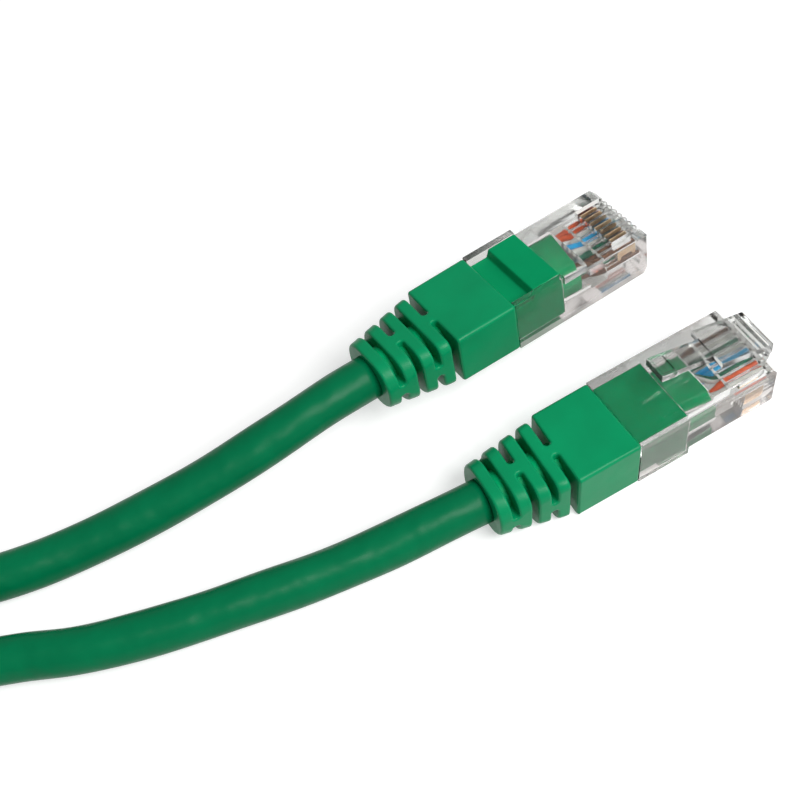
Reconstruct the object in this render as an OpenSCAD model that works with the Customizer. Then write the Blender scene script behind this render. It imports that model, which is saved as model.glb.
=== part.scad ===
// Ethernet patch cable: two clear 8P8C plugs with moulded boots on one round cable.
// Lengths are in mm and angles in degrees. +X points to the plugs' noses and +Z is up.
// The cable lies on the plane z = 0. Plug A has its contacts up, plug B has its latch up.

/* [Cable] */
// Outer diameter of the cable's jacket
cable_d = 5.8; // [5.4:0.1:5.9]
// Radius of the stored coil's outer turn, to the middle of the cable
coil_r = 35; // [34:0.2:37]
// Whole turns in the coil, before the part turn between its two ends
coil_whole_turns = 3; // [2:1:4]
// Space between neighbouring turns and layers
turn_gap = 0.5; // [0.45:0.05:0.8]

/* [Plug] */
// Width of the plug's body
plug_w = 11.68; // [11.5:0.01:11.8]
// Length of the plug's body from the boot to its nose
plug_l = 21.46; // [21:0.02:22]
// Height of the rear part of the body
plug_h = 7.85; // [7.7:0.05:8]
// Length of the rear part, which is thicker on the contact side
rear_l = 7.7; // [7:0.1:8.5]
// Height of the step on the contact side
step_h = 1.32; // [1.1:0.02:1.5]
// Thickness of the side walls beside the cut-away rear
side_wall = 0.92; // [0.8:0.02:1.1]

/* [Latch] */
// Width of the latch between its shoulders and the nose
latch_w = 6.22; // [6:0.02:6.4]
// Width of the latch's finger
finger_w = 3.25; // [3:0.05:3.5]
// Rise of the relaxed latch above the body
latch_angle = 14; // [12:0.5:15]
// Thickness of the latch
latch_t = 1; // [0.8:0.1:1.1]
// Place of the two shoulders, from the rear of the body
shoulder_x = 14.05; // [13.5:0.05:14.5]
// Place of the finger's free end, from the rear of the body
finger_x = 5.8; // [5:0.1:7]

/* [Contacts and conductors] */
// Distance between neighbouring contacts
pitch = 1.016; // [1:0.004:1.03]
// Thickness of a contact blade
blade_t = 0.35; // [0.3:0.01:0.38]
// Length of a contact blade
blade_l = 3; // [2.6:0.1:3.2]
// Diameter of an insulated conductor
wire_d = 0.96; // [0.88:0.02:0.98]
// Width of the open slot over a contact
slot_w = 0.62; // [0.55:0.01:0.66]

/* [Boot] */
// Length of the boot's solid block
block_l = 8.9; // [8:0.1:10]
// Width of the block at its rear
block_rear_w = 11.6; // [11.2:0.1:11.6]
// Length of one rib
rib_t = 1.7; // [1.4:0.1:1.9]
// Length of the slot in front of each rib
rib_gap = 0.87; // [0.7:0.01:1]
// Width of the first rib
first_rib_w = 11; // [10.5:0.1:11.1]
// Width of the last rib
last_rib_w = 9.7; // [9:0.1:10.2]
// Width of the bridges that join the ribs
bridge_w = 1.9; // [1.6:0.1:2.4]
// Sideways bend of boot B's ribs
tail_turn_b = -4; // [-6:0.5:6]

/* [Layout] */
// Place of plug A's rear face, under its middle
plug_a_at = [-2.95, 10.15, 5.305];
// Tilt of plug A, which leans on its latch
plug_a_turn = [-6.4, -1.1, 2.7];
// Place of plug B's rear face, under its middle
plug_b_at = [0.15, -11.8, 0];
// Middle of the coil
coil_at = [-136, 21.1];
// Thickness of the strap round the coil
strap_t = 0.6; // [0.5:0.05:0.8]
// Width of the strap
strap_w = 8; // [6:0.5:10]

/* [Hidden] */
ends = ["a", "b"];
one_of_8 = [1:8];
node_names = ["housing_", "latch_", "inner_mould_", "boot_", "cable_end_"];
$fn = 48;
fit = 0.02;   // running space between a piece and its seat
cut = 0.1;    // how far a cut runs past the face that it opens
cable_r = cable_d/2;
bore_r = cable_r + fit;
axis_z = plug_h/2;
tail_turn_a = 0;
function tail_turn(e) = e == "a" ? tail_turn_a : tail_turn_b;

// Body of the plug: chamfers at the nose, as (length, height), and the corner cut seen from above
latch_chamfer = [1.1, 1.6];
contact_chamfer = [0.8, 0.55];
nose_corner = 0.5;
// Cut-away rear, jacket cavity and the chamber where the conductors fan out
rear_roof_z = 6.85;
jacket_size = [8.4, 4.3];
jacket_corner = 1.6;
jacket_z = 4.15;
jacket_nose_x = 12.3;
jacket_rear_x = -2;
chamber_x = plug_l - 6.46;
chamber_size = [8.4, 2.4];
// Conductors and contacts
wire_z = 4.75;
wire_nose_x = plug_l - 0.96;
wire_channel_r = wire_d/2 + 0.04;
blade_x = plug_l - 4.46;
blade_top_z = step_h + 0.55;
slot_x = blade_x - 0.2;
slot_depth = 1.35;
tine_w = 0.35;
tine_z = wire_z + 0.15;
blade_foot_z = wire_z - 0.85;
function wire_y(i) = (i - 4.5)*pitch;
wire_colours = ["white", "orange", "white", "dodgerblue", "lightblue", "green", "white", "saddlebrown"];
// Inner mould: the groove behind the boot's front face and the raised block
groove_l = 3;
groove_depth = 1.15;

// Latch: its root turns about a line at the top of the nose
hinge_x = plug_l + 0.25;
hinge_z = plug_h - 0.25;
knuckle_r = 0.6;
knuckle_seat_r = knuckle_r + 0.05;
head_x = hinge_x + knuckle_r;
head_z = 9;
pad_l = 2.2;
pad_rim = 0.35;
pad_recess = 0.35;
pad_extra = 0.25;
latch_fall = latch_t/cos(latch_angle);
function latch_z(x) = head_z + (head_x - x)*tan(latch_angle);

// Boot
ribs = 4;
block_corner = 0.6;
rib_pitch = rib_t + rib_gap;
tail_l = ribs*rib_pitch;
first_rib_h = plug_h - 0.02;
last_rib_h = 7.5;
first_rib_corner = 1.3;
last_rib_corner = 3.2;
bridge_drop = 0.1;
function step_between(first, last, k) = first + (last - first)*k/(ribs - 1);
function rib_size(k) = [
    step_between(first_rib_w, last_rib_w, k),
    step_between(first_rib_h, last_rib_h, k)
];
function rib_corner(k) = step_between(first_rib_corner, last_rib_corner, k);

// Turning of points by three angles, as rotate() does it
function turn_x(p, a) = [p.x, p.y*cos(a) - p.z*sin(a), p.y*sin(a) + p.z*cos(a)];
function turn_y(p, a) = [p.x*cos(a) + p.z*sin(a), p.y, -p.x*sin(a) + p.z*cos(a)];
function turn_z(p, a) = [p.x*cos(a) - p.y*sin(a), p.x*sin(a) + p.y*cos(a), p.z];
function turned(p, a) = turn_z(turn_y(turn_x(p, a.x), a.y), a.z);
// The cable's way out of a boot, as a point and a direction
function tail_dir(e) = [-cos(tail_turn(e)), -sin(tail_turn(e)), 0];
function tail_end(e) = [-block_l, 0, axis_z] + tail_l*tail_dir(e);
function upside_down(p) = [p.x, -p.y, -p.z];
exit_a = plug_a_at + turned([0, 0, plug_h] + upside_down(tail_end("a")), plug_a_turn);
exit_a_dir = turned(upside_down(tail_dir("a")), plug_a_turn);
exit_b = plug_b_at + tail_end("b");
exit_b_dir = tail_dir("b");

// The coil: two layers, inwards below and outwards above, turning clockwise from end B to end A
turn_step = cable_d + turn_gap;
coil_start_angle = 290;
coil_end_angle = 60;
coil_turns = coil_whole_turns + (coil_start_angle - coil_end_angle)/360;
rings_per_turn = 24;
coil_sides = 6;
coil_low_z = strap_t + cable_r + 0.05;
coil_high_z = coil_low_z + turn_step;
coil_rings = ceil(coil_turns*rings_per_turn);
function smooth(u) = u*u*(3 - 2*u);
function clamped(u) = min(max(u, 0), 1);
function turn_radius(t) = coil_r - turn_step*min(t, coil_turns - t);
function turn_height(t) = coil_low_z + turn_step*smooth(clamped(2*(t - coil_turns/2) + 0.5));
function coil_dir(t) = let (a = coil_start_angle - 360*t) [sin(a), -cos(a), 0];
function coil_point(t) = let (a = coil_start_angle - 360*t, r = turn_radius(t))
    [coil_at.x + r*cos(a), coil_at.y + r*sin(a), turn_height(t)];
coil_b_end = coil_point(0) - cable_d*coil_dir(0);
coil_a_end = coil_point(coil_turns) + cable_d*coil_dir(coil_turns);
coil_line = concat(
    [coil_b_end],
    [for (i = [0:coil_rings]) coil_point(coil_turns*i/coil_rings)],
    [coil_a_end]
);

// Routes of the two runs, from the boot to the coil
route_a = concat([exit_a, exit_a + cable_d*exit_a_dir], [
    [-36.5, 9.2, 7.5], [-45, 9.5, 5.8], [-53.5, 10.3, 4.2], [-62, 11.3, 3.1], [-70, 12.4, 2.9],
    [-77.5, 14.4, 2.9], [-84, 17.7, 2.9], [-89.5, 22.3, 3.3], [-94.2, 27.6, 4.3], [-98.5, 33.4, 5.9],
    [-102.9, 39.1, 7.8], [-107.8, 44.2, 9.3]
], [coil_a_end]);
route_b = concat([exit_b, exit_b + cable_d*exit_b_dir], [
    [-32.5, -9.7, 3.2], [-40.5, -8.5, 2.9], [-48.5, -6.9, 2.9], [-56.5, -5.2, 2.9], [-64, -3.2, 2.9],
    [-70, -1.1, 2.9], [-76, 1.8, 2.9], [-82.2, 4.1, 2.9], [-88.7, 4.9, 2.9], [-95.1, 4.1, 2.9],
    [-101, 1.7, 2.9], [-106.7, -2.1, 3], [-112.3, -6.3, 3.3]
], [coil_b_end]);
run_sides = 10;

// A tube swept along points: each ring is square to the line there, and its sides keep level
function unit(v) = v/norm(v);
function ring(p, d, r, sides, lift) =
    let (across = unit(cross([0, 0, 1], d)), over = cross(d, across))
    [for (k = [0:sides - 1]) let (a = 360*k/sides + lift) p + r*(cos(a)*across + sin(a)*over)];
function line_dir(line, i, first, last) =
    i == 0 ? first : i == len(line) - 1 ? last : unit(line[i + 1] - line[i - 1]);
module tube(line, first_dir, last_dir, sides, lift) {
    n = len(line);
    points = [for (i = [0:n - 1]) each ring(line[i], line_dir(line, i, first_dir, last_dir), cable_r, sides, lift)];
    walls = [for (i = [0:n - 2], k = [0:sides - 1])
        let (a = i*sides + k, b = i*sides + (k + 1)%sides) each [[a, b, b + sides], [a, b + sides, a + sides]]];
    caps = [[for (k = [sides - 1:-1:0]) k], [for (k = [0:sides - 1]) (n - 1)*sides + k]];
    polyhedron(points, concat(walls, caps));
}
turn_gaps = [for (i = [0:len(coil_line) - 1], j = [i + 1:1:len(coil_line) - 1])
    if (j - i > rings_per_turn/2) norm(coil_line[i] - coil_line[j]) - cable_d];
function line_length(line) = len(line) < 2 ? 0 :
    norm(line[1] - line[0]) + line_length([for (i = [1:1:len(line) - 1]) line[i]]);
echo(least_gap_between_turns = min(turn_gaps));
echo(cable_length = line_length(route_a) + line_length(route_b) + line_length(coil_line));

// A rounded rectangle, and a block of it that runs along X
module rounded(size, r) {
    square([size.x - 2*r, size.y], center = true);
    square([size.x, size.y - 2*r], center = true);
    for (x = [-1, 1], y = [-1, 1]) translate([x*(size.x/2 - r), y*(size.y/2 - r)]) circle(r);
}
module bar(from_x, to_x, z, size, r) {
    translate([from_x, 0, z]) rotate([90, 0, 90]) linear_extrude(to_x - from_x) rounded(size, r);
}
module rod(from_x, to_x, z, r) {
    translate([from_x, 0, z]) rotate([0, 90, 0]) cylinder(h = to_x - from_x, r = r);
}
module side_profile(width) {
    rotate([90, 0, 0]) linear_extrude(width, center = true) children();
}
module box(from, to) {
    translate(from) cube(to - from);
}

// Where the pieces of one end stand
module place(e) {
    if (e == "a") translate(plug_a_at) rotate(plug_a_turn) translate([0, 0, plug_h]) rotate([180, 0, 0]) children();
    else translate(plug_b_at) children();
}
module tail_place(e) {
    translate([-block_l, 0, 0]) rotate([0, 0, tail_turn(e)]) children();
}
// The cable's round way through the ribs and the block, mitred where the ribs turn
module bent_rod(e, r, extra) {
    reach = 2*plug_w;
    translate([-block_l, 0, 0]) {
        intersection() {
            rotate([0, 0, tail_turn(e)]) rod(-tail_l - extra, cable_r, axis_z, r);
            rotate([0, 0, tail_turn(e)/2]) box([-reach, -reach, -reach], [0, reach, reach]);
        }
        intersection() {
            rod(-cable_r, block_l + jacket_rear_x, axis_z, r);
            rotate([0, 0, tail_turn(e)/2]) box([0, -reach, -reach], [reach, reach, reach]);
        }
    }
}

// The plug's body before its cavities
module housing_body() {
    nose_z = step_h + contact_chamfer.y;
    intersection() {
        side_profile(plug_w) polygon([
            [0, 0], [rear_l, 0], [rear_l, step_h], [plug_l - contact_chamfer.x, step_h], [plug_l, nose_z],
            [plug_l, plug_h - latch_chamfer.y], [plug_l - latch_chamfer.x, plug_h], [0, plug_h]
        ]);
        linear_extrude(plug_h) polygon([
            [0, -plug_w/2], [plug_l - nose_corner, -plug_w/2], [plug_l, -plug_w/2 + nose_corner],
            [plug_l, plug_w/2 - nose_corner], [plug_l - nose_corner, plug_w/2], [0, plug_w/2]
        ]);
    }
}
// The root that carries the latch, with a round seat for its knuckle
module latch_root() {
    difference() {
        side_profile(latch_w) polygon([
            [plug_l - latch_chamfer.x - 0.2, plug_h - 1.2], [plug_l - latch_chamfer.x, plug_h - 2.4],
            [plug_l, plug_h - 2.4], [hinge_x + 0.3, hinge_z - 1],
            [hinge_x + 0.3, hinge_z - 0.3], [hinge_x - 0.9, hinge_z]
        ]);
        translate([hinge_x, 0, hinge_z]) rotate([90, 0, 0])
            cylinder(h = latch_w + 2*cut, r = knuckle_seat_r, center = true);
    }
}
module housing(e) color("gainsboro", 0.35) difference() {
    union() {
        housing_body();
        latch_root();
    }
    rear_w = plug_w - 2*side_wall;
    box([-cut, -rear_w/2, -cut], [rear_l, rear_w/2, rear_roof_z]);
    bar(rear_l - cut, jacket_nose_x + fit, jacket_z, jacket_size + [2*fit, 2*fit], jacket_corner);
    chamber = [chamber_size.x/2, chamber_size.y/2];
    box([jacket_nose_x, -chamber.x, wire_z - chamber.y], [chamber_x, chamber.x, wire_z + chamber.y]);
    for (i = one_of_8) translate([0, wire_y(i), 0]) {
        rod(chamber_x - cut, wire_nose_x + fit, wire_z, wire_channel_r);
        box([slot_x, -slot_w/2, -cut], [plug_l + cut, slot_w/2, step_h + slot_depth]);
        pocket = [blade_t/2 + fit, blade_x + blade_l + fit];
        box([blade_x - fit, -pocket.x, step_h], [pocket.y, pocket.x, tine_z + fit]);
    }
}

// The latch: wide part, finger and grip pad, on a knuckle at the nose
module latch(e) color("gainsboro", 0.35) difference() {
    union() {
        translate([hinge_x, 0, hinge_z]) rotate([90, 0, 0])
            cylinder(h = latch_w, r = knuckle_r, center = true);
        side_profile(latch_w) polygon([
            [head_x, head_z], [head_x, hinge_z], [hinge_x - knuckle_r, hinge_z],
            [hinge_x - knuckle_r, latch_z(hinge_x - knuckle_r) - latch_fall],
            [shoulder_x, latch_z(shoulder_x) - latch_fall], [shoulder_x, latch_z(shoulder_x)]
        ]);
        side_profile(finger_w) polygon([
            [shoulder_x + cut, latch_z(shoulder_x + cut)],
            [shoulder_x + cut, latch_z(shoulder_x + cut) - latch_fall],
            [finger_x + pad_l + 0.6, latch_z(finger_x + pad_l + 0.6) - latch_fall],
            [finger_x + pad_l, latch_z(finger_x + pad_l) - latch_fall - pad_extra],
            [finger_x, latch_z(finger_x) - latch_fall - pad_extra], [finger_x, latch_z(finger_x)]
        ]);
    }
    pad_from = finger_x + pad_rim;
    pad_to = finger_x + pad_l;
    side_profile(finger_w - 2*pad_rim) polygon([
        [pad_from, latch_z(pad_from) - pad_recess], [pad_to, latch_z(pad_to) - pad_recess],
        [pad_to, latch_z(pad_to) + 1], [pad_from, latch_z(pad_from) + 1]
    ]);
}

// One contact: a blade with two tines, which bite into the conductor
module contact(i) color("gold") translate([0, wire_y(i), 0]) side_profile(blade_t) polygon([
    [blade_x, blade_top_z + 0.3], [blade_x + 0.3, blade_top_z], [blade_x + blade_l - 0.3, blade_top_z],
    [blade_x + blade_l, blade_top_z + 0.3], [blade_x + blade_l, blade_foot_z],
    [blade_x + blade_l - tine_w, tine_z], [blade_x + blade_l - 2*tine_w, blade_foot_z],
    [blade_x + 2*tine_w, blade_foot_z], [blade_x + tine_w, tine_z], [blade_x, blade_foot_z]
]);
// One insulated conductor, slit where the tines bite
module conductor(i) color(wire_colours[i - 1]) translate([0, wire_y(i), 0]) difference() {
    rod(jacket_nose_x, wire_nose_x, wire_z, wire_d/2);
    for (x = [blade_x, blade_x + blade_l - 2*tine_w])
        box([x - fit, -blade_t/2 - fit, wire_z - wire_d], [x + 2*tine_w + fit, blade_t/2 + fit, tine_z + fit]);
}

// The overmould in the cut-away rear: a groove, then a block that is flush with the body
module inner_mould(e) color("seagreen") difference() {
    w = plug_w - 2*side_wall - 2*fit;
    side_profile(w) polygon([
        [0, groove_depth], [groove_l, groove_depth], [groove_l + 0.4, 0], [rear_l - fit, 0],
        [rear_l - fit, rear_roof_z - fit], [0, rear_roof_z - fit]
    ]);
    bar(-cut, rear_l + cut, jacket_z, jacket_size + [2*fit, 2*fit], jacket_corner);
}

// The jacket inside the boot and the plug: round in the boot, pressed flat in the plug
module cable_end(e) color("seagreen") {
    bent_rod(e, cable_r, 0);
    bar(jacket_rear_x, jacket_nose_x, jacket_z, jacket_size, jacket_corner);
}

// The boot: a block, then ribs with slots that open by turns to the sides and to the top and bottom
module boot_block() {
    intersection() {
        bar(-block_l, 0, axis_z, [plug_w, plug_h], block_corner);
        linear_extrude(plug_h) polygon([
            [0, -plug_w/2], [0, plug_w/2], [-block_l, block_rear_w/2], [-block_l, -block_rear_w/2]
        ]);
    }
}
module rib(k) {
    front = -rib_gap - k*rib_pitch;
    bar(front - rib_t, front, axis_z, rib_size(k), rib_corner(k));
}
module bridge(k) {
    from_x = -rib_gap - k*rib_pitch - cut;
    size = rib_size(k) - [2*bridge_drop, 2*bridge_drop];
    across = k%2 == 0 ? [bridge_w/2, size.y/2] : [size.x/2, bridge_w/2];
    box([from_x, -across.x, axis_z - across.y], [from_x + rib_gap + 2*cut, across.x, axis_z + across.y]);
}
module boot(e) color("seagreen") difference() {
    union() {
        boot_block();
        tail_place(e) for (k = [0:ribs - 1]) {
            rib(k);
            bridge(k);
        }
    }
    bent_rod(e, bore_r, cut);
    bar(jacket_rear_x - fit, cut, jacket_z, jacket_size + [2*fit, 2*fit], jacket_corner);
}

// The free cable
module cable_run_a() color("seagreen")
    tube(route_a, exit_a_dir, -coil_dir(coil_turns), run_sides, 0);
module cable_run_b() color("seagreen")
    tube(route_b, exit_b_dir, coil_dir(0), run_sides, 0);
module cable_coil() color("seagreen")
    tube(coil_line, coil_dir(0), coil_dir(coil_turns), coil_sides, 0);

// A strap round the bundle of turns on the coil's far side, with its tail closed on top
module coil_strap() color("dimgray") {
    bundle_r = coil_r - 0.82*turn_step;
    inner = [turn_step + cable_d + 1, turn_step + cable_d + 0.15];
    corner = 2;
    outer = inner + [2*strap_t, 2*strap_t];
    mid_z = outer.y/2;
    translate([coil_at.x - bundle_r, coil_at.y, mid_z]) rotate([90, 0, 0]) {
        linear_extrude(strap_w, center = true) difference() {
            rounded(outer, corner + strap_t);
            rounded(inner, corner);
        }
        translate([-2, outer.y/2 + strap_t/2 - fit, 0]) cube([5, strap_t, strap_w], center = true);
    }
}

for (e = ends) {
    place(e) housing(e);
    place(e) latch(e);
    place(e) inner_mould(e);
    place(e) boot(e);
    place(e) cable_end(e);
    for (i = one_of_8) {
        place(e) contact(i);
        place(e) conductor(i);
    }
}
cable_run_a();
cable_run_b();
cable_coil();
coil_strap();
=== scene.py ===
import math
import bmesh
import bpy
from mathutils import Matrix, Vector


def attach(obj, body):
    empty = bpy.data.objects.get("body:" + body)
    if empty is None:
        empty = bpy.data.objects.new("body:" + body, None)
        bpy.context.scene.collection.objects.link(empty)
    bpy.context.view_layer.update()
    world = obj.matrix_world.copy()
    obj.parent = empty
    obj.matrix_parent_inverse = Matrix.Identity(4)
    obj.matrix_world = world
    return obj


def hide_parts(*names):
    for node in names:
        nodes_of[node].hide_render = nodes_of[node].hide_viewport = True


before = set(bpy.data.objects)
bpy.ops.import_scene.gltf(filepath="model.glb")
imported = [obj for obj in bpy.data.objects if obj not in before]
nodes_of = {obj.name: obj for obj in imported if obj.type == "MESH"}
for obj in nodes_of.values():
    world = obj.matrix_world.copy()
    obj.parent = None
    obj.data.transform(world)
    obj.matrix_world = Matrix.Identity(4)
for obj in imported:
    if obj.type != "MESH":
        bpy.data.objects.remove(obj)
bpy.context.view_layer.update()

scene = bpy.context.scene

# ---- Free cable ----
# One round length of green PVC jacket drawn over four twisted pairs. It runs from
# boot A to a strapped coil and back to boot B, and the pairs inside show as a slow
# swell that winds along it.
MM = 0.001
jacket_r = 2.9 * MM

# How each plug lies: A on its latch with the contacts up, B on its contact side
plug_h = 7.85 * MM
plug_place = {
    "a": Matrix.Translation((-0.00295, 0.01015, 0.005305))
    @ Matrix.Rotation(math.radians(2.7), 4, "Z")
    @ Matrix.Rotation(math.radians(-1.1), 4, "Y")
    @ Matrix.Rotation(math.radians(-6.4), 4, "X")
    @ Matrix.Translation((0, 0, plug_h))
    @ Matrix.Rotation(math.radians(180), 4, "X"),
    "b": Matrix.Translation((0.00015, -0.0118, 0)),
}
# The boot behind a plug is a block and then a tail of ribs, with a gap before each rib
block_l = 8.9 * MM
rib_count, rib_t, rib_gap = 4, 1.7 * MM, 0.87 * MM
tail_l = rib_count * (rib_t + rib_gap)
tail_turn = {"a": 0.0, "b": math.radians(-4)}


def cable_exit(end):
    """Where the cable leaves a boot, and the way it points there."""
    back = Vector((-math.cos(tail_turn[end]), -math.sin(tail_turn[end]), 0))
    start = Vector((-block_l, 0, plug_h / 2)) + tail_l * back
    return plug_place[end] @ start, (plug_place[end].to_3x3() @ back).normalized()


exit_a, way_a = cable_exit("a")
exit_b, way_b = cable_exit("b")

# The coil winds inwards on the table, then outwards on top of that. It starts and
# ends at these angles, in degrees, and run B meets its start and run A its end.
coil_x, coil_y = -136 * MM, 21.1 * MM
coil_r = 35 * MM
turn_step = 6.3 * MM
coil_start, coil_end = 290, 60
coil_turns = 3 + (coil_start - coil_end) / 360
low_z = 3.55 * MM


def coil_point(t):
    """Where the cable's middle is, t turns on from the coil's start."""
    a = math.radians(coil_start - 360 * t)
    r = coil_r - turn_step * min(t, coil_turns - t)
    u = min(max(2 * (t - coil_turns / 2) + 0.5, 0), 1)
    z = low_z + turn_step * u * u * (3 - 2 * u)
    return Vector((coil_x + r * math.cos(a), coil_y + r * math.sin(a), z))


def coil_way(t):
    """The way round the coil there."""
    a = math.radians(coil_start - 360 * t)
    return Vector((math.sin(a), -math.cos(a), 0))


# Where each run lies between its boot and the coil, in millimetres
run_a = [
    (-36.5, 9.2, 7.5), (-45, 9.5, 5.8), (-53.5, 10.3, 4.2), (-62, 11.3, 3.1), (-70, 12.4, 2.9),
    (-77.5, 14.4, 2.9), (-84, 17.7, 2.9), (-89.5, 22.3, 3.3), (-94.2, 27.6, 4.3), (-98.5, 33.4, 5.9),
    (-102.9, 39.1, 7.8), (-107.8, 44.2, 9.3),
]
run_b = [
    (-32.5, -9.7, 3.2), (-40.5, -8.5, 2.9), (-48.5, -6.9, 2.9), (-56.5, -5.2, 2.9), (-64, -3.2, 2.9),
    (-70, -1.1, 2.9), (-76, 1.8, 2.9), (-82.2, 4.1, 2.9), (-88.7, 4.9, 2.9), (-95.1, 4.1, 2.9),
    (-101, 1.7, 2.9), (-106.7, -2.1, 3), (-112.3, -6.3, 3.3),
]
coil_rings = 88
straight = 2 * jacket_r
knots = [exit_a, exit_a + straight * way_a]
knots += [Vector(p) * MM for p in run_a]
knots += [coil_point(coil_turns) + straight * coil_way(coil_turns)]
knots += [coil_point(coil_turns * (1 - i / coil_rings)) for i in range(coil_rings + 1)]
knots += [coil_point(0) - straight * coil_way(0)]
knots += [Vector(p) * MM for p in reversed(run_b)]
knots += [exit_b + straight * way_b, exit_b]


def smooth_line(points, first_way, last_way, step):
    """Points about a step apart on one smooth curve through the given ones."""
    ways = [first_way.normalized()]
    for before, after in zip(points, points[2:]):
        ways.append((after - before).normalized())
    ways.append(last_way.normalized())
    line = []
    for i, (p, q) in enumerate(zip(points, points[1:])):
        gap = (q - p).length
        pieces = max(1, round(gap / step))
        for k in range(pieces):
            u = k / pieces
            line.append(
                p * (2 * u**3 - 3 * u**2 + 1) + q * (3 * u**2 - 2 * u**3)
                + ways[i] * gap * (u**3 - 2 * u**2 + u) + ways[i + 1] * gap * (u**3 - u**2)
            )
    return line + [points[-1]]


def frames_along(line, first_way, last_way):
    """A matrix at each point of a line: Z runs along it and X keeps level."""
    ways = [first_way] + [after - before for before, after in zip(line, line[2:])] + [last_way]
    frames = []
    for p, way in zip(line, ways):
        z = way.normalized()
        x = Vector((0, 0, 1)).cross(z).normalized()
        frames.append(Matrix.Translation(p) @ Matrix((x, z.cross(x), z)).transposed().to_4x4())
    return frames


def verts_in(geometry):
    """The vertices among what a bmesh operator made."""
    return [g for g in geometry if isinstance(g, bmesh.types.BMVert)]


def draw_out(bm, edges, stations, stripe=0):
    """Draws edges from the first station through the others, and gives the last ones.
    What the first few of them sweep, as many as stripe says, takes the second material."""
    for before, after in zip(stations, stations[1:]):
        made = bmesh.ops.extrude_edge_only(bm, edges=edges)["geom"]
        bmesh.ops.transform(bm, matrix=after @ before.inverted(), verts=verts_in(made))
        new_faces = {g for g in made if isinstance(g, bmesh.types.BMFace)}
        far_edges = []
        for i, e in enumerate(edges):
            side = next(f for f in e.link_faces if f in new_faces)
            side.material_index = 1 if i < stripe else 0
            far_edges.append(next(o for o in side.edges if not set(o.verts) & set(e.verts)))
        edges = far_edges
    return edges


def tube(bm, stations, radius, sides, stripe=0):
    """A tube, capped at both ends, with a circle at each station that its matrix may flatten."""
    ring = bmesh.ops.create_circle(bm, cap_ends=True, segments=sides, radius=radius)["verts"]
    bmesh.ops.transform(bm, matrix=stations[0], verts=ring)
    last_ring = draw_out(bm, list(bm.edges), stations, stripe)
    bmesh.ops.holes_fill(bm, edges=last_ring, sides=0)
    bmesh.ops.recalc_face_normals(bm, faces=bm.faces)


def add_piece(name, bm, material, smooth_angle=180, place=None):
    """Makes an object at the origin from a bmesh, with its place in its mesh."""
    if place is not None:
        bmesh.ops.transform(bm, matrix=place, verts=bm.verts)
    mesh = bpy.data.meshes.new(name)
    bm.to_mesh(mesh)
    bm.free()
    mesh.materials.append(material)
    mesh.shade_smooth()
    if smooth_angle < 180:
        mesh.set_sharp_from_angle(angle=math.radians(smooth_angle))
    piece = bpy.data.objects.new(name, mesh)
    scene.collection.objects.link(piece)
    return piece


def new_material(name):
    """A material with its node tree, its shader and the socket that says where a point is."""
    mat = bpy.data.materials.new(name)
    mat.use_nodes = True
    tree = mat.node_tree
    where = tree.nodes.new("ShaderNodeTexCoord").outputs["Object"]
    return mat, tree, tree.nodes["Principled BSDF"], where


def noise(tree, where, scale, detail):
    """Soft clouds of values between 0 and 1."""
    cloud = tree.nodes.new("ShaderNodeTexNoise")
    cloud.inputs["Scale"].default_value = scale
    cloud.inputs["Detail"].default_value = detail
    tree.links.new(where, cloud.inputs["Vector"])
    return cloud.outputs["Fac"]


def colours(tree, value, low, low_colour, high, high_colour):
    """Goes from one colour to the other as a value goes from low to high."""
    ramp = tree.nodes.new("ShaderNodeValToRGB")
    first, last = ramp.color_ramp.elements
    first.position, first.color = low, low_colour
    last.position, last.color = high, high_colour
    tree.links.new(value, ramp.inputs["Fac"])
    return ramp.outputs["Color"]


def levels(tree, value, low, high, at_low, at_high):
    """Goes evenly from one level to the other as a value goes from low to high."""
    span = tree.nodes.new("ShaderNodeMapRange")
    span.inputs["From Min"].default_value = low
    span.inputs["From Max"].default_value = high
    span.inputs["To Min"].default_value = at_low
    span.inputs["To Max"].default_value = at_high
    tree.links.new(value, span.inputs["Value"])
    return span.outputs["Result"]


def relief(tree, height, strength, distance, over=None, sunk=False):
    """Bumps, on top of other ones if those are given, or dents if they are sunk."""
    bump = tree.nodes.new("ShaderNodeBump")
    bump.inputs["Strength"].default_value = strength
    bump.inputs["Distance"].default_value = distance
    bump.invert = sunk
    tree.links.new(height, bump.inputs["Height"])
    if over is not None:
        tree.links.new(over, bump.inputs["Normal"])
    return bump.outputs["Normal"]


def pvc(name, colour, gloss, grain, swell, shine):
    """PVC that is a little uneven in colour and gloss, with a fine grain and soft flow marks."""
    mat, tree, shader, where = new_material(name)
    shader.inputs["IOR"].default_value = 1.5
    shader.inputs["Specular IOR Level"].default_value = shine
    darker = [c * 0.9 for c in colour] + [1]
    lighter = [c * 1.06 for c in colour] + [1]
    tone = colours(tree, noise(tree, where, scale=150, detail=3), 0.3, darker, 0.75, lighter)
    rough = levels(tree, noise(tree, where, scale=300, detail=2), 0, 1, gloss - 0.06, gloss + 0.08)
    flow = relief(tree, noise(tree, where, scale=330, detail=1), swell, 0.2 * MM)
    skin = relief(tree, noise(tree, where, scale=5200, detail=2), grain, 0.03 * MM, over=flow)
    tree.links.new(tone, shader.inputs["Base Color"])
    tree.links.new(rough, shader.inputs["Roughness"])
    tree.links.new(skin, shader.inputs["Normal"])
    return mat


jacket_pvc = pvc("jacket_pvc", (0.0, 0.155, 0.059), gloss=0.33, grain=0.25, swell=1.3, shine=0.09)

# Twisted pairs press the jacket slightly oval, and the oval turns with their lay. These
# are how deep it is pressed and how fast that comes and goes along the cable.
oval_depth, oval_l = 0.013, 4.3 * MM
width_depth, width_l = 0.008, 2.7 * MM
lay_l, ease_l = 10.5 * MM, 6 * MM

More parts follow.
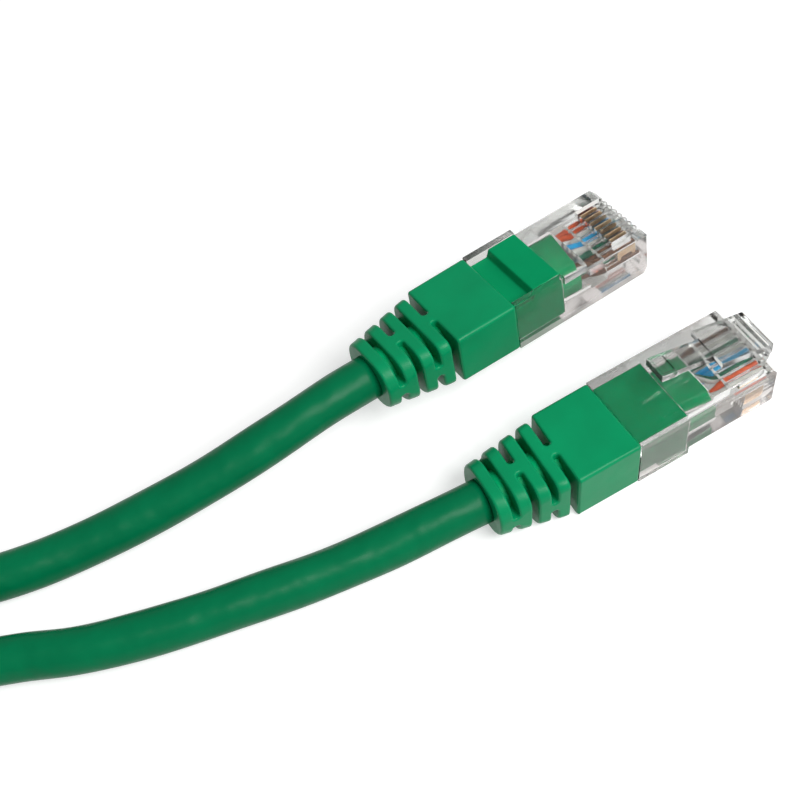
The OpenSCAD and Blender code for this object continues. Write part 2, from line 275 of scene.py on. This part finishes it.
line = smooth_line(knots, way_a, -way_b, 1.1 * MM)
frames = frames_along(line, way_a, -way_b)
stations, travelled = [], 0.0
for i, at in enumerate(frames):
    if i:
        travelled += (line[i] - line[i - 1]).length
    ease = min(1, travelled / ease_l)
    lay = Matrix.Rotation(travelled / lay_l, 4, "Z")
    oval = oval_depth * ease * math.sin(travelled / oval_l)
    wide = 1 + width_depth * ease * math.sin(travelled / width_l + 1)
    squeeze = Matrix.Diagonal((wide + oval, wide - oval, 1, 1))
    stations.append(at @ lay @ squeeze @ lay.inverted())
bm = bmesh.new()
tube(bm, stations, jacket_r, sides=24)
for v in bm.verts:
    v.co.z = max(v.co.z, 0)
cable = add_piece("cable", bm, jacket_pvc)
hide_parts("cable_run_a", "cable_run_b", "cable_coil")
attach(cable, "cable")

# ---- Coil strap ----
# A length of black hook-and-loop tape round the coil's far side, closed on itself
# with its tail on top. The outside is looped pile and the edges are cut clean.
strap_t, strap_w = 0.6 * MM, 8 * MM
# The middle of the turns there is 0.82 of a turn in from the outermost
strap_x = coil_x - (coil_r - 0.82 * turn_step)
inside_w, inside_h = turn_step + 2 * jacket_r + 1 * MM, turn_step + 2 * jacket_r + 0.15 * MM
strap_corner = 2 * MM
strap_start_x, strap_tail_x = -4.2 * MM, 0.6 * MM
overlap_z = 1.15 * strap_t

strap_black, tree, shader, where = new_material("strap_black")
shader.inputs["Roughness"].default_value = 0.85
shader.inputs["Sheen Weight"].default_value = 0.35
shader.inputs["Sheen Roughness"].default_value = 0.5
loops = tree.nodes.new("ShaderNodeTexVoronoi")
loops.inputs["Scale"].default_value = 2600
tree.links.new(where, loops.inputs["Vector"])
pile = colours(tree, loops.outputs["Distance"], 0, (0.022, 0.022, 0.024, 1), 1, (0.006, 0.006, 0.007, 1))
tufts = relief(tree, loops.outputs["Distance"], 0.8, 0.12 * MM, sunk=True)
tree.links.new(pile, shader.inputs["Base Color"])
tree.links.new(tufts, shader.inputs["Normal"])

# Its line seen along the bundle, as (x, z, turn): once round, then over its own start
half_x, half_z = inside_w / 2 - strap_corner, inside_h / 2 - strap_corner
mid_z = inside_h / 2 + strap_t
bend_r = strap_corner + strap_t / 2
strap_line = [(strap_start_x, half_z + bend_r, 0)]
for quarter, (sx, sz) in enumerate([(1, 1), (1, -1), (-1, -1), (-1, 1)]):
    lift = overlap_z if quarter == 3 else 0
    for k in range(7):
        a = math.radians(90 * quarter + 15 * k)
        strap_line.append((sx * half_x + (bend_r + lift) * math.sin(a),
                           sz * half_z + (bend_r + lift) * math.cos(a), a))
strap_line.append((strap_tail_x, half_z + bend_r + overlap_z, math.radians(360)))
strap_stations = [Matrix.Translation((strap_x + x, coil_y, mid_z + z)) @ Matrix.Rotation(a, 4, "Y")
                  for x, z, a in strap_line]
bm = bmesh.new()
strap_ends = [bm.verts.new((0, -strap_w / 2, 0)), bm.verts.new((0, strap_w / 2, 0))]
strap_edge = bm.edges.new(strap_ends)
bmesh.ops.transform(bm, matrix=strap_stations[0], verts=strap_ends)
draw_out(bm, [strap_edge], strap_stations)
# A hair thinner than strap_t, so that its two layers never touch
bmesh.ops.solidify(bm, geom=bm.faces[:], thickness=strap_t * 0.94)
bmesh.ops.recalc_face_normals(bm, faces=bm.faces)
strap = add_piece("strap", bm, strap_black, 50)
soften = strap.modifiers.new("cut_edges", "BEVEL")
soften.width, soften.segments, soften.limit_method = 0.12 * MM, 2, "ANGLE"
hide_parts("coil_strap")
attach(strap, "cable")

# ---- Jacket ends ----
# Inside each boot the jacket is round. In the plug it is pressed flat under the
# clamp and cut off with a knife, so the pairs come out of its mouth.
flat_w, flat_h, flat_corner, flat_z = 8.4 * MM, 4.3 * MM, 1.6 * MM, 4.15 * MM
jacket_wall = 0.55 * MM
mouth_depth = 3.5 * MM
cut_slant = {"a": 1.2 * MM, "b": 0}
# How far the clamp presses the jacket down at places along the plug, in millimetres
pinches = ((2, 0), (5, 0.12), (8, 0.3), (9.6, 0.1), (12.3, 0))
# Stands a flat outline up, square to X
upright = Matrix(((0, 0, 1, 0), (1, 0, 0, 0), (0, 1, 0, 0), (0, 0, 0, 1)))


def rounded_ring(bm, at, width, height, corner):
    """A rounded rectangle, square to X before it is placed, as one face."""
    old = set(bm.faces)
    corners = bmesh.ops.create_grid(bm, x_segments=1, y_segments=1, size=0.5)["verts"]
    bmesh.ops.transform(bm, matrix=at @ upright @ Matrix.Diagonal((width, height, 1, 1)), verts=corners)
    bmesh.ops.bevel(bm, geom=corners, offset=corner, offset_type="OFFSET", segments=6,
                    profile=0.5, affect="VERTICES", material=-1)
    return [f for f in bm.faces if f not in old][0]


def loft(bm, rings):
    """A closed skin over rounded rectangles that follow each other, with a face at each end."""
    faces = [rounded_ring(bm, *ring) for ring in rings]
    outlines = [list(f.edges) for f in faces]
    bmesh.ops.delete(bm, geom=faces[1:-1], context="FACES_ONLY")
    for one, other in zip(outlines, outlines[1:]):
        bmesh.ops.bridge_loops(bm, edges=one + other)
    bmesh.ops.recalc_face_normals(bm, faces=bm.faces)
    return faces[-1]


def tail_at(end, along):
    """A place on the boot's tail, that far behind its block, in the plug's own frame."""
    tail = Matrix.Translation((-block_l, 0, plug_h / 2)) @ Matrix.Rotation(tail_turn[end], 4, "Z")
    return tail @ Matrix.Translation((-along, 0, 0))


def jacket_rings(end, extra, behind):
    """The jacket from that far behind the tail, where it is round, to the plug's rear, where it is
    flat, grown by extra all round."""
    d, nearly_round = 2 * jacket_r + 2 * extra, jacket_r + extra - 0.02 * MM
    rings = [(tail_at(end, s), d, d, nearly_round) for s in (tail_l + behind, 5 * MM, 0.3 * MM)]
    rings.append((Matrix.Translation((-8 * MM, 0, plug_h / 2)), d, d, nearly_round))
    for k in range(7):
        u = k / 6
        ease = u * u * (3 - 2 * u)
        rings.append((
            Matrix.Translation(((-5 + 5 * u) * MM, 0, plug_h / 2 + (flat_z - plug_h / 2) * ease)),
            d + (flat_w - 2 * jacket_r) * ease, d + (flat_h - 2 * jacket_r) * ease,
            nearly_round + (flat_corner - jacket_r) * ease,
        ))
    return rings


# Pressed flat in the plug, the jacket is painted a good deal paler than the cable: painted light, making up
# for the light that the clear plastic keeps from it
painted_paler_jacket_pvc = pvc("painted_paler_jacket_pvc", (0.0, 0.36, 0.13), gloss=0.4, grain=0.25, swell=0.5, shine=0.06)
for end in "ab":
    bm = bmesh.new()
    rings = jacket_rings(end, 0, -0.2 * MM)
    for x, pinch in pinches:
        rings.append((Matrix.Translation((x * MM, 0, flat_z - 0.5 * pinch * MM)),
                      flat_w, flat_h - pinch * MM, flat_corner))
    mouth = loft(bm, rings)
    # The knife leaves the cut a little uneven, and end A's is aslant too
    for v in mouth.verts:
        v.co.x += (0.1 * math.sin(v.co.y * 2100 + 1) + 0.07 * math.sin(v.co.z * 3900)) * MM - 0.17 * MM
        v.co.x -= cut_slant[end] * (v.co.y / flat_w + 0.5)
    bmesh.ops.inset_individual(bm, faces=[mouth], thickness=jacket_wall)
    inner = bmesh.ops.extrude_discrete_faces(bm, faces=[mouth])["faces"][0]
    bmesh.ops.translate(bm, verts=inner.verts, vec=(-mouth_depth, 0, 0))
    jacket = add_piece("jacket_end_" + end, bm, painted_paler_jacket_pvc, 40, plug_place[end])
    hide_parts("cable_end_" + end)
    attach(jacket, "cable")

# ---- Conductors ----
# Eight insulated copper conductors at each end, untwisted from their four pairs and
# pushed side by side up the channels. The lighter one of each pair is white with a stripe.
wire_r = 0.48 * MM
pitch = 1.016 * MM
stripe_sides, stripe_turn = 5, 0.09
# Each channel's start, middle and end, and its height, in millimetres
channel_xs, channel_z = (15.0, 17.5, 20.5), 4.75
insulation_colours = {
    "orange": (0.8, 0.1, 0.015), "green": (0.0, 0.14, 0.075), "blue": (0.0, 0.45, 0.9),
    "brown": (0.16, 0.065, 0.03), "white": (0.72, 0.72, 0.7),
}
insulation = {name: pvc("insulation_" + name, colour, gloss=0.28, grain=0.1, swell=0.1, shine=0.25)
              for name, colour in insulation_colours.items()}
# Each one's own colour, whether that is a stripe on white, and its way from the jacket's
# mouth to its channel, in millimetres
wires = [
    ("orange", True, [(10.2, -2.75, 4.75), (12.3, -3.35, 4.9), (13.7, -3.6, 4.85)]),
    ("orange", False, [(10.2, -2.4, 3.75), (12.2, -2.65, 4.06), (13.6, -2.7, 4.35)]),
    ("green", True, [(10.2, 0.75, 4.85), (12.1, 0.35, 5.15), (13.1, -0.75, 5.35), (14.1, -1.45, 5.05)]),
    ("blue", False, [(10.2, -1.05, 3.7), (12.2, -0.8, 4.05), (13.5, -0.48, 4.2)]),
    ("blue", True, [(10.2, 0.05, 3.65), (12.2, 0.3, 4.05), (13.5, 0.56, 4.2)]),
    ("green", False, [(10.2, 1.45, 4.05), (12.2, 1.5, 4.45), (13.6, 1.56, 4.75)]),
    ("brown", True, [(10.2, 2.2, 4.8), (12.3, 2.45, 5.0), (13.7, 2.56, 4.85)]),
    ("brown", False, [(10.2, 2.65, 3.8), (12.2, 3.05, 4.06), (13.6, 3.5, 4.4)]),
]
forward = Vector((1, 0, 0))

for end in "ab":
    for number, (colour, striped, way) in enumerate(wires, 1):
        y = (number - 4.5) * pitch / MM
        wire_knots = [Vector(p) * MM for p in way + [(x, y, channel_z) for x in channel_xs]]
        wire_line = smooth_line(wire_knots, forward, forward, 0.35 * MM)
        wire_frames = frames_along(wire_line, forward, forward)
        # The stripe winds slowly round the insulation
        stations = [at @ Matrix.Rotation(stripe_turn * i + number, 4, "Z")
                    for i, at in enumerate(wire_frames)]
        bm = bmesh.new()
        tube(bm, stations, wire_r, sides=12, stripe=stripe_sides if striped else 0)
        wire = add_piece("wire_%s_%d" % (end, number), bm, insulation["white" if striped else colour],
                         60, plug_place[end])
        wire.data.materials.append(insulation[colour])
        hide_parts("conductor_%s_%d" % (end, number))
        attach(wire, "cable")

# ---- Contacts ----
# Eight blades at each end, stamped from phosphor bronze and gold plated, pressed
# through the open slots so that their tines pierce the conductors.
gold, tree, shader, where = new_material("gold_contact")
shader.inputs["Metallic"].default_value = 0.6
wear = noise(tree, where, scale=900, detail=3)
plating = colours(tree, wear, 0.35, (0.85, 0.56, 0.34, 1), 0.65, (0.97, 0.75, 0.52, 1))
tree.links.new(plating, shader.inputs["Base Color"])
tree.links.new(levels(tree, wear, 0, 1, 0.28, 0.45), shader.inputs["Roughness"])


def dress(node, material, round_off):
    """Gives a CAD solid its material, and joins its faces and rounds its edges."""
    solid = nodes_of[node]
    for holder in solid.material_slots:
        holder.material = material
    weld = solid.modifiers.new("weld", "WELD")
    weld.merge_threshold = 0.002 * MM
    flats = solid.modifiers.new("flats", "DECIMATE")
    flats.decimate_type = "DISSOLVE"
    flats.angle_limit = math.radians(1)
    edge = solid.modifiers.new("moulded_edges", "BEVEL")
    edge.width, edge.segments = round_off, 2
    edge.limit_method, edge.angle_limit = "ANGLE", math.radians(35)
    edge.harden_normals = True


for end in "ab":
    for number in range(1, 9):
        dress("contact_%s_%d" % (end, number), gold, 0.05 * MM)

# ---- Plug bodies and latches ----
# Each body and its latch are moulded in clear polycarbonate, and the body's side faces are a little matt,
# with a painted grey there: a painted reflection of pale surroundings, lighter at plug A and darker,
# with painted shade, at plug B. The latch bends at its root on the nose, where the plastic is thin.
plug_w = 11.68 * MM
rear_roof_z = 6.85 * MM
# Painted grey of the matt sides (a painted reflection, lighter at A, darker at B with painted shade), and
# how matt they are below the roof and beside it
haze_and_painted_grey = {"a": ((0.75, 0.71, 0.69, 1), 0.04, 0.42), "b": ((0.55, 0.51, 0.49, 1), 0.12, 0.3)}


def maths(tree, operation, one, other=None):
    """The result of a sum with one socket, or with a socket and another socket or number."""
    step = tree.nodes.new("ShaderNodeMath")
    step.operation = operation
    tree.links.new(one, step.inputs[0])
    if isinstance(other, bpy.types.NodeSocket):
        tree.links.new(other, step.inputs[1])
    elif other is not None:
        step.inputs[1].default_value = other
    return step.outputs[0]


def clear_plastic(name, place, painted_side_grey, below_roof, beside_roof):
    """Clear polycarbonate, a little hazy, with matt sides for the plug that is in that place, painted grey
    as a painted reflection.
    """
    mat, tree, shader, where = new_material(name)
    shader.inputs["IOR"].default_value = 1.36
    shader.inputs["Specular IOR Level"].default_value = 0.3
    haze = noise(tree, where, scale=260, detail=2)
    in_plug = tree.nodes.new("ShaderNodeMapping")
    in_plug.vector_type = "TEXTURE"
    in_plug.inputs["Location"].default_value = place.to_translation()
    in_plug.inputs["Rotation"].default_value = place.to_euler()
    tree.links.new(where, in_plug.inputs["Vector"])
    parts = tree.nodes.new("ShaderNodeSeparateXYZ")
    tree.links.new(in_plug.outputs["Vector"], parts.inputs["Vector"])
    # Matt on the very sides, more or less so below and beside the roof, and never quite evenly
    from_middle = maths(tree, "ABSOLUTE", parts.outputs["Y"])
    on_side = levels(tree, from_middle, plug_w / 2 - 0.08 * MM, plug_w / 2 - 0.02 * MM, 0, 1)
    strength = levels(tree, parts.outputs["Z"], rear_roof_z - 0.1 * MM, rear_roof_z + 0.1 * MM,
                      below_roof, beside_roof)
    uneven = levels(tree, haze, 0.3, 0.7, 0.8, 1.2)
    matt = maths(tree, "MULTIPLY", maths(tree, "MULTIPLY", on_side, strength), uneven)
    tint = colours(tree, haze, 0.3, (0.69, 0.695, 0.68, 1), 0.7, (0.86, 0.865, 0.85, 1))
    # The matt sides get the painted grey, a painted reflection of pale surroundings, in place of the clear
    # tint
    colour = tree.nodes.new("ShaderNodeMix")
    colour.data_type = "RGBA"
    colour.inputs["B"].default_value = painted_side_grey
    tree.links.new(on_side, colour.inputs["Factor"])
    tree.links.new(tint, colour.inputs["A"])
    tree.links.new(levels(tree, matt, 0, 1, 1, 0), shader.inputs["Transmission Weight"])
    tree.links.new(colour.outputs["Result"], shader.inputs["Base Color"])
    tree.links.new(levels(tree, haze, 0, 1, 0.07, 0.17), shader.inputs["Roughness"])
    tree.links.new(relief(tree, haze, 0.25, 0.05 * MM), shader.inputs["Normal"])
    return mat


for end in "ab":
    clear = clear_plastic("clear_plastic_" + end, plug_place[end], *haze_and_painted_grey[end])
    dress("housing_" + end, clear, 0.1 * MM)
    dress("latch_" + end, clear, 0.12 * MM)

# ---- Inner moulds ----
# Soft green PVC moulded into the cut-away rear of each plug and round the jacket, with a
# groove behind a raised block that is flush with the plug. It sticks to the plug's roof, and
# at end A to one wall too. On its other sides it has shrunk a hair's breadth away.
rear_l = 7.7 * MM
side_wall = 0.92 * MM
groove_l, groove_depth, groove_slope = 3 * MM, 1.15 * MM, 0.4 * MM
shrunk = 0.02 * MM
stuck = 0.015 * MM
mould_half_w = plug_w / 2 - side_wall - shrunk
mould_sides = {"a": (-mould_half_w, mould_half_w + shrunk + stuck), "b": (-mould_half_w, mould_half_w)}
mould_pvc = pvc("mould_pvc", (0.0, 0.27, 0.1), gloss=0.45, grain=0.3, swell=0.25, shine=0.08)


def cut_out(piece, other_bm):
    """Cuts a closed mesh out of a piece."""
    cutter = add_piece("cutter", other_bm, piece.data.materials[0])
    step = piece.modifiers.new("cut", "BOOLEAN")
    step.operation, step.object, step.solver = "DIFFERENCE", cutter, "EXACT"
    shaped = bpy.data.meshes.new_from_object(piece.evaluated_get(bpy.context.evaluated_depsgraph_get()))
    piece.modifiers.clear()
    old, piece.data = piece.data, shaped
    bpy.data.meshes.remove(old)
    bpy.data.meshes.remove(cutter.data)


def keep_flats(piece):
    """Shades a piece smooth, but keeps its flat faces flat and its edges sharp."""
    piece.data.shade_smooth()
    piece.data.set_sharp_from_angle(angle=math.radians(50))
    piece.modifiers.new("flat_faces", "WEIGHTED_NORMAL").keep_sharp = True


for end in "ab":
    bm = bmesh.new()
    low_y, high_y = mould_sides[end]
    front, roof = rear_l - shrunk, rear_roof_z + stuck
    profile = [(0, groove_depth), (groove_l, groove_depth), (groove_l + groove_slope, 0),
               (front, 0), (front, roof), (0, roof)]
    side = bm.faces.new([bm.verts.new((x, low_y, z)) for x, z in profile])
    other_side = bmesh.ops.extrude_face_region(bm, geom=[side])["geom"]
    bmesh.ops.translate(bm, verts=verts_in(other_side), vec=(0, high_y - low_y, 0))
    bmesh.ops.recalc_face_normals(bm, faces=bm.faces)
    bmesh.ops.bevel(bm, geom=bm.edges[:], offset=0.18 * MM, offset_type="OFFSET", segments=3, profile=0.5,
                    affect="EDGES", material=-1)
    mould = add_piece("mould_" + end, bm, mould_pvc)
    core = bmesh.new()
    loft(core, [(Matrix.Translation((x, 0, flat_z)), flat_w + shrunk, flat_h + shrunk, flat_corner)
                for x in (-1 * MM, rear_l + 1 * MM)])
    cut_out(mould, core)
    mould.data.transform(plug_place[end])
    keep_flats(mould)
    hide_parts("inner_mould_" + end)
    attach(mould, "cable")

# ---- Boots ----
# Strain reliefs of soft green PVC, moulded round the jacket behind each plug: a block,
# then four ribs with slots between them that open by turns to the sides and to top and bottom.
block_rear_w = 11.6 * MM
bridge_w = 1.9 * MM
slot_reach = 8 * MM
edge_r = 0.34 * MM
boot_pvc = pvc("boot_pvc", (0.0, 0.262, 0.1), gloss=0.31, grain=0.3, swell=0.35, shine=0.15)


def off_axis(end, point):
    """How far a point of a boot is from the middle of the jacket inside it."""
    if point.x < -block_l:
        place = tail_at(end, 0).inverted() @ point
    else:
        place = point - Vector((0, 0, plug_h / 2))
    return math.hypot(place.y, place.z)


for end in "ab":
    # The whole boot, from the plug's rear face to the end of the tail
    bm = bmesh.new()
    at_axis = Matrix.Translation((0, 0, plug_h / 2))
    loft(bm, [
        (at_axis, plug_w, plug_h, 0.45 * MM),
        (Matrix.Translation((-block_l - 0.2 * MM, 0, 0)) @ at_axis, block_rear_w, plug_h, 0.6 * MM),
        (tail_at(end, 0.65 * MM), 11.15 * MM, plug_h, 1.25 * MM),
        (tail_at(end, rib_gap + rib_t / 2), 11 * MM, plug_h - 0.02 * MM, 1.35 * MM),
        (tail_at(end, tail_l / 2 + rib_gap / 2), 10.35 * MM, 7.68 * MM, 2.25 * MM),
        (tail_at(end, tail_l - rib_t / 2), 9.7 * MM, 7.5 * MM, 3.2 * MM),
        (tail_at(end, tail_l), 9.55 * MM, 7.45 * MM, 3.3 * MM),
    ])
    boot = add_piece("boot_body_" + end, bm, boot_pvc)

    # A slot from each side at each gap, with a round end at the bridge that is left in the middle
    slots = bmesh.new()
    for gap in range(rib_count):
        at_gap = tail_at(end, gap * (rib_t + rib_gap) + rib_gap / 2)
        for half in (0, 180):
            old = set(slots.verts)
            plan = bmesh.ops.create_grid(slots, x_segments=1, y_segments=1, size=0.5)["verts"]
            outwards = Matrix.Translation((0, slot_reach / 2 + bridge_w / 2 - 0.12 * MM, 0))
            bmesh.ops.transform(slots, matrix=outwards @ Matrix.Diagonal((rib_gap, slot_reach, 1, 1)),
                                verts=plan)
            inner_corners = sorted(plan, key=lambda v: v.co.y)[:2]
            bmesh.ops.bevel(slots, geom=inner_corners, offset=rib_gap * 0.49, offset_type="OFFSET",
                            segments=6, profile=0.5, affect="VERTICES", material=-1)
            outline = [v for v in slots.verts if v not in old]
            top = bmesh.ops.extrude_face_region(slots, geom=[outline[0].link_faces[0]])["geom"]
            bmesh.ops.translate(slots, verts=verts_in(top), vec=(0, 0, 2 * slot_reach))
            whole = [v for v in slots.verts if v not in old]
            turn = Matrix.Rotation(math.radians(half + (90 if gap % 2 else 0)), 4, "X")
            bmesh.ops.transform(slots, matrix=at_gap @ turn @ Matrix.Translation((0, 0, -slot_reach)),
                                verts=whole)
    bmesh.ops.recalc_face_normals(slots, faces=slots.faces)
    cut_out(boot, slots)

    # The bore, a hair wider than the jacket
    core = bmesh.new()
    flat_end = (Matrix.Translation((1 * MM, 0, flat_z)), flat_w, flat_h, flat_corner)
    loft(core, jacket_rings(end, 0.02 * MM, 1 * MM) + [flat_end])
    cut_out(boot, core)

    # Every outside edge is rounded, and the bore stays tight round the jacket
    bm = bmesh.new()
    bm.from_mesh(boot.data)
    outside = [e for e in bm.edges if len(e.link_faces) == 2 and e.calc_face_angle() > math.radians(32)
               and min(off_axis(end, v.co) for v in e.verts) > jacket_r + 0.1 * MM]
    bmesh.ops.bevel(bm, geom=outside, offset=edge_r, offset_type="OFFSET", segments=4, profile=0.5,
                    affect="EDGES", clamp_overlap=False, material=-1)
    bmesh.ops.transform(bm, matrix=plug_place[end], verts=bm.verts)
    bm.to_mesh(boot.data)
    bm.free()
    keep_flats(boot)
    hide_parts("boot_" + end)
    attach(boot, "cable")

# ---- Room ----
# A white floor and white surroundings with one large soft lamp and a weak one, and a
# camera that looks down on both plugs from the cable's side.
floor_glow = 0.55
lit_r, unlit_r = 0.18, 0.42


def shown_to(tree, strengths):
    """A value that is so strong for each kind of ray named, and 0 for the others."""
    rays = tree.nodes.new("ShaderNodeLightPath")
    shown = None
    for ray, strength in strengths.items():
        part = maths(tree, "MULTIPLY", rays.outputs[ray], strength)
        shown = part if shown is None else maths(tree, "MAXIMUM", shown, part)
    return shown


floor_bm = bmesh.new()
bmesh.ops.create_grid(floor_bm, x_segments=1, y_segments=1, size=1.5)
floor_mat, tree, shader, where = new_material("floor")
floor = add_piece("floor", floor_bm, floor_mat)
floor.location.z = -0.02 * MM
shader.inputs["Base Color"].default_value = (0.6, 0.6, 0.6, 1)
shader.inputs["Roughness"].default_value = 0.9
shader.inputs["Specular IOR Level"].default_value = 0.1
shader.inputs["Emission Color"].default_value = (1, 1, 1, 1)

# Away from the object, where the lamps don't reach, the floor glows more, so that it stays white
distance = tree.nodes.new("ShaderNodeVectorMath")
distance.operation = "LENGTH"
tree.links.new(where, distance.inputs[0])
stay_white = levels(tree, distance.outputs["Value"], lit_r, unlit_r, floor_glow, 1)
seen_glow = maths(tree, "MULTIPLY", stay_white, shown_to(tree, {"Is Camera Ray": 1}))
thrown_glow = shown_to(tree, {"Is Transmission Ray": floor_glow, "Is Glossy Ray": floor_glow})
glow = maths(tree, "MAXIMUM", seen_glow, thrown_glow)
tree.links.new(glow, shader.inputs["Emission Strength"])

world = bpy.data.worlds.new("studio")
scene.world = world
world.use_nodes = True
sky = world.node_tree.nodes["Background"]
sky.inputs["Color"].default_value = (1, 1, 1, 1)
backdrop = shown_to(world.node_tree, {"Is Camera Ray": 1, "Is Transmission Ray": 0.95, "Is Glossy Ray": 0.4})
sky_light = levels(world.node_tree, backdrop, 0, 1, 0.24, 1)
world.node_tree.links.new(sky_light, sky.inputs["Strength"])


def soft_light(name, at, to, size, watts):
    """A square lamp that is turned to a place."""
    lamp = bpy.data.lights.new(name, "AREA")
    lamp.energy, lamp.size = watts, size
    holder = bpy.data.objects.new(name, lamp)
    scene.collection.objects.link(holder)
    holder.location = at
    holder.rotation_euler = (Vector(to) - Vector(at)).to_track_quat("-Z", "Y").to_euler()


soft_light("key", at=(0.13, -0.39, 0.57), to=(0, 0, 0), size=0.32, watts=4.4)
soft_light("fill", at=(0.3, -0.12, 0.3), to=(-0.02, 0, 0), size=0.3, watts=0.5)

view = bpy.data.cameras.new("view")
view.sensor_fit = "HORIZONTAL"
view.sensor_width, view.lens = 36, 72
view.clip_start = 0.01
camera = bpy.data.objects.new("view", view)
scene.collection.objects.link(camera)
right = Vector((0.8487, -0.5251, -0.0637)).normalized()
look = Vector((0.2631, 0.5236, -0.8103)).normalized()
up = right.cross(look).normalized()
right = look.cross(up).normalized()
stand = Matrix.Translation(Vector((-73.505, -100.275, 170.762)) * MM)
camera.matrix_world = stand @ Matrix((right, up, -look)).transposed().to_4x4()
scene.camera = camera
scene.view_settings.view_transform = "Standard"
